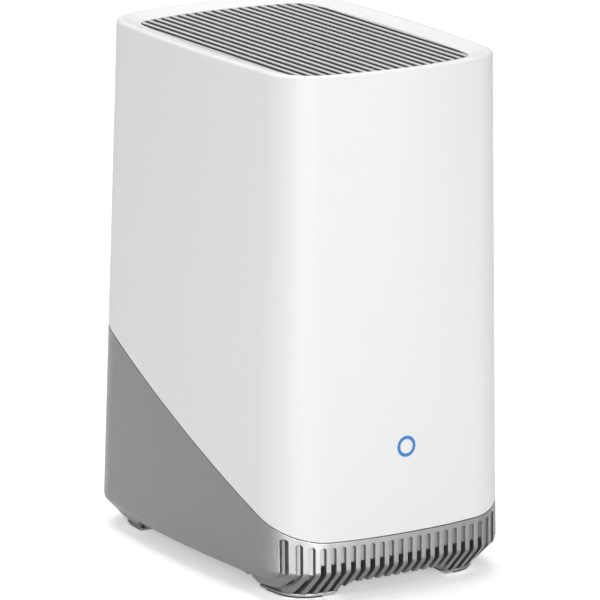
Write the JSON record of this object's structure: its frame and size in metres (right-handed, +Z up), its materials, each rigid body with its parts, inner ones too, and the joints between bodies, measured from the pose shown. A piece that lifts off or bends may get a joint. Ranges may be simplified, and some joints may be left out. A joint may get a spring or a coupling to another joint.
{
  "type": "security camera base station",
  "caption": "Tall free-standing hub for security cameras: tapered white shell, grey ribbed base with finned feet, slatted top grille, blue light ring, drive bay underneath.",
  "frame": {"origin": "middle of the footprint, at the level of the surface that the pads stand on", "axes": "+Z up; -Y is the front with the status light, +Y the rear with the sockets; +X is to the right for someone who faces the front"},
  "size_m": [0.0994, 0.1354, 0.1815],
  "materials": {
    "white_plastic": "fine satin moulding",
    "grey_plastic": "fine satin moulding, light grey",
    "rubber_pads": "matt",
    "black_mesh": "fine woven screen",
    "light_ring": "clear, lit blue",
    "circuit_board": "green solder mask",
    "lamp_bodies": "small surface lamps",
    "inner_plastic": "plain dark moulding",
    "chip_black": "moulded chip",
    "soft_pad": "soft pad",
    "bare_aluminium": "extruded, bare",
    "tinned_steel": "stamped and tinned",
    "capacitor_sleeve": "sleeved can",
    "black_plastic": "moulded black",
    "screw_steel": "zinc plated",
    "brass_insert": "knurled",
    "black_steel": "pressed and painted",
    "magnet_iron": "sintered magnet and plated yoke",
    "paper_cone": "pressed paper",
    "coil_wire": "wound wire",
    "antenna_copper": "flat foil on a strip"
  },
  "bodies": {
    "base_station": {"outer_shell": "white_plastic", "lower_housing": "grey_plastic", "foot_pads": "rubber_pads", "top_grille": "grey_plastic", "dust_screen": "black_mesh", "status_light_ring": "light_ring", "status_light_middle": "white_plastic", "status_light_board": "circuit_board", "status_lamps": "lamp_bodies", "inner_frame": "inner_plastic", "main_board": "circuit_board", "processor": "chip_black", "thermal_pad": "soft_pad", "heat_sink": "bare_aluminium", "heat_sink_pins": "inner_plastic", "memory_chips": "chip_black", "radio_covers": "tinned_steel", "capacitors": "capacitor_sleeve", "network_socket": "tinned_steel", "usb_socket": "tinned_steel", "usb_tongue": "black_plastic", "power_socket": "black_plastic", "power_pin": "tinned_steel", "sync_switch": "tinned_steel", "drive_bay_cage": "tinned_steel", "lock_insert": "brass_insert", "bridge_board": "circuit_board", "drive_connector": "black_plastic", "speaker_basket": "black_steel", "speaker_gasket": "soft_pad", "speaker_magnet": "magnet_iron", "speaker_cone": "paper_cone", "speaker_surround": "soft_pad", "voice_coil": "coil_wire", "strip_antennas": "antenna_copper", "shell_screws": "screw_steel", "board_screws": "screw_steel", "frame_screws": "screw_steel", "speaker_screws": "screw_steel", "light_board_screws": "screw_steel"},
    "drive_drawer": {"drive_tray": "inner_plastic", "bay_cover": "grey_plastic"},
    "lock_screw": {"cover_lock_screw": "screw_steel"},
    "sync_button": {"sync_button": "grey_plastic", "switch_plunger": "black_plastic"}
  },
  "joints": [
    {"name": "drive_drawer_slide", "type": "slide", "parent": "base_station", "child": "drive_drawer", "axis": [0, 0, -1], "range_m": [0, 0.1]},
    {"name": "lock_screw_turn", "type": "hinge", "parent": "drive_drawer", "child": "lock_screw", "pos_m": [0.022, 0.0406, 0.01], "axis": [0, 0, 1], "range_deg": [0, 720]},
    {"name": "sync_button_press", "type": "slide", "parent": "base_station", "child": "sync_button", "axis": [0, -1, 0], "range_m": [0, 0.0005], "stiffness_N_per_m": 800, "springref_m": -0.0005}
  ]
}
